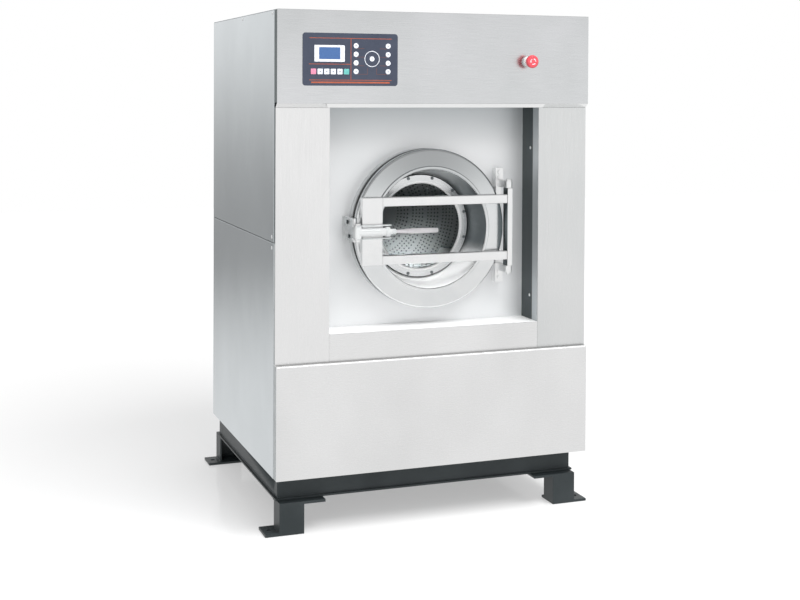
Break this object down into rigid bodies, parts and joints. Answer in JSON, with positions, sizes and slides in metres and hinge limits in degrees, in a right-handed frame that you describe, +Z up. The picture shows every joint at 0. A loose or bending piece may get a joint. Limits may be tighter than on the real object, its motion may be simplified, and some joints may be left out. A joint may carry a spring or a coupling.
{
  "type": "washer-extractor",
  "caption": "Floor-anchored front-loading washer-extractor with a stainless cabinet, recessed round door on a yoke with lever latch, control panel, stop button and belt-driven drum.",
  "frame": {"origin": "middle of the four floor anchor holes, on the floor", "axes": "+Z up, -Y towards the front with the door, +X to the right seen from the front"},
  "size_m": [1.044, 0.93, 1.53],
  "materials": {
    "stainless_panel": "brushed stainless sheet",
    "stainless_door": "spun stainless pressing, fine turned lines",
    "bright_steel": "polished stainless",
    "drum_steel": "perforated stainless",
    "tub_steel": "mill finish stainless",
    "black_paint": "satin black paint",
    "shaft_steel": "ground steel",
    "pulley_iron": "machined cast iron",
    "motor_paint": "painted motor housing",
    "rubber": "black rubber",
    "window_glass": "clear toughened glass",
    "grey_plastic": "moulded grey plastic",
    "brass_fitting": "plain brass",
    "overlay_film": "satin printed film",
    "display_plastic": "white bezel with blue display",
    "key_red": "printed key",
    "key_white": "printed key",
    "key_green": "printed key",
    "stop_red": "moulded red plastic"
  },
  "bodies": {
    "cabinet": {"left_upper_panel": "stainless_panel", "left_lower_panel": "stainless_panel", "right_upper_panel": "stainless_panel", "right_lower_panel": "stainless_panel", "top_cover": "stainless_panel", "rear_panel": "stainless_panel", "control_fascia": "stainless_panel", "left_column": "stainless_panel", "right_column": "stainless_panel", "door_surround": "stainless_panel", "sill_panel": "stainless_panel", "lower_front_panel": "stainless_panel", "mouth_collar": "stainless_door", "hinge_brackets": "bright_steel", "hinge_pin": "bright_steel", "latch_keeper": "bright_steel", "panel_screws": "bright_steel", "tub_shell": "tub_steel", "tub_front": "tub_steel", "tub_back": "tub_steel", "base_frame": "black_paint", "foot_front_left": "black_paint", "foot_front_right": "black_paint", "foot_rear_left": "black_paint", "foot_rear_right": "black_paint", "tub_saddles": "black_paint", "bearings": "shaft_steel", "drive_motor": "motor_paint", "drive_belts": "rubber", "drain_valve": "grey_plastic", "inlet_valves": "brass_fitting", "control_overlay": "overlay_film", "lcd_display": "display_plastic", "stop_collar": "grey_plastic"},
    "door": {"door_ring": "stainless_door", "door_glass": "window_glass", "glass_gasket": "rubber", "glass_clamp_ring": "stainless_door", "door_gasket": "rubber", "clamp_ring_bolts": "bright_steel", "door_yoke": "bright_steel", "yoke_hinge_post": "bright_steel", "latch_pin": "bright_steel"},
    "latch": {"latch_lever": "bright_steel", "latch_grip": "bright_steel"},
    "drum": {"drum_shell": "drum_steel", "drum_front_ring": "drum_steel", "drum_back": "drum_steel", "drum_lifters": "drum_steel", "drum_shaft": "shaft_steel", "drum_pulley": "pulley_iron"},
    "motor_rotor": {"motor_pulley": "pulley_iron"},
    "stop_plunger": {"stop_stem": "grey_plastic"},
    "stop_knob": {"stop_head": "stop_red"},
    "key_1_button": {"key_1": "key_red"},
    "key_2_button": {"key_2": "key_white"},
    "key_3_button": {"key_3": "key_white"},
    "key_4_button": {"key_4": "key_white"},
    "key_5_button": {"key_5": "key_white"},
    "key_6_button": {"key_6": "key_green"}
  },
  "joints": [
    {"name": "door_swing", "type": "hinge", "parent": "cabinet", "child": "door", "pos_m": [0.251, -0.4155, 0.878], "axis": [0, 0, 1], "range_deg": [0, 140]},
    {"name": "latch_swing", "type": "hinge", "parent": "door", "child": "latch", "pos_m": [-0.249, -0.4425, 0.878], "axis": [0, 0, -1], "range_deg": [0, 110]},
    {"name": "drum_spin", "type": "hinge", "parent": "cabinet", "child": "drum", "pos_m": [0, 0, 0.878], "axis": [0, 1, 0], "continuous": true},
    {"name": "motor_spin", "type": "hinge", "parent": "cabinet", "child": "motor_rotor", "pos_m": [0, 0.3365, 0.28], "axis": [0, 1, 0], "continuous": true},
    {"name": "key_1_press", "type": "slide", "parent": "cabinet", "child": "key_1_button", "axis": [0, 1, 0], "range_m": [0, 0.0005], "stiffness_N_per_m": 800},
    {"name": "key_2_press", "type": "slide", "parent": "cabinet", "child": "key_2_button", "axis": [0, 1, 0], "range_m": [0, 0.0005], "stiffness_N_per_m": 800},
    {"name": "key_3_press", "type": "slide", "parent": "cabinet", "child": "key_3_button", "axis": [0, 1, 0], "range_m": [0, 0.0005], "stiffness_N_per_m": 800},
    {"name": "key_4_press", "type": "slide", "parent": "cabinet", "child": "key_4_button", "axis": [0, 1, 0], "range_m": [0, 0.0005], "stiffness_N_per_m": 800},
    {"name": "key_5_press", "type": "slide", "parent": "cabinet", "child": "key_5_button", "axis": [0, 1, 0], "range_m": [0, 0.0005], "stiffness_N_per_m": 800},
    {"name": "key_6_press", "type": "slide", "parent": "cabinet", "child": "key_6_button", "axis": [0, 1, 0], "range_m": [0, 0.0005], "stiffness_N_per_m": 800},
    {"name": "stop_push", "type": "slide", "parent": "cabinet", "child": "stop_plunger", "axis": [0, 1, 0], "range_m": [0, 0.005]},
    {"name": "stop_twist", "type": "hinge", "parent": "stop_plunger", "child": "stop_knob", "pos_m": [0.291, -0.4925, 1.387], "axis": [0, 1, 0], "range_deg": [0, 45], "stiffness_Nm_per_rad": 0.05}
  ],
  "couplings": [
    {"joint": "motor_spin", "follows": "drum_spin", "ratio": 4.4444}
  ]
}
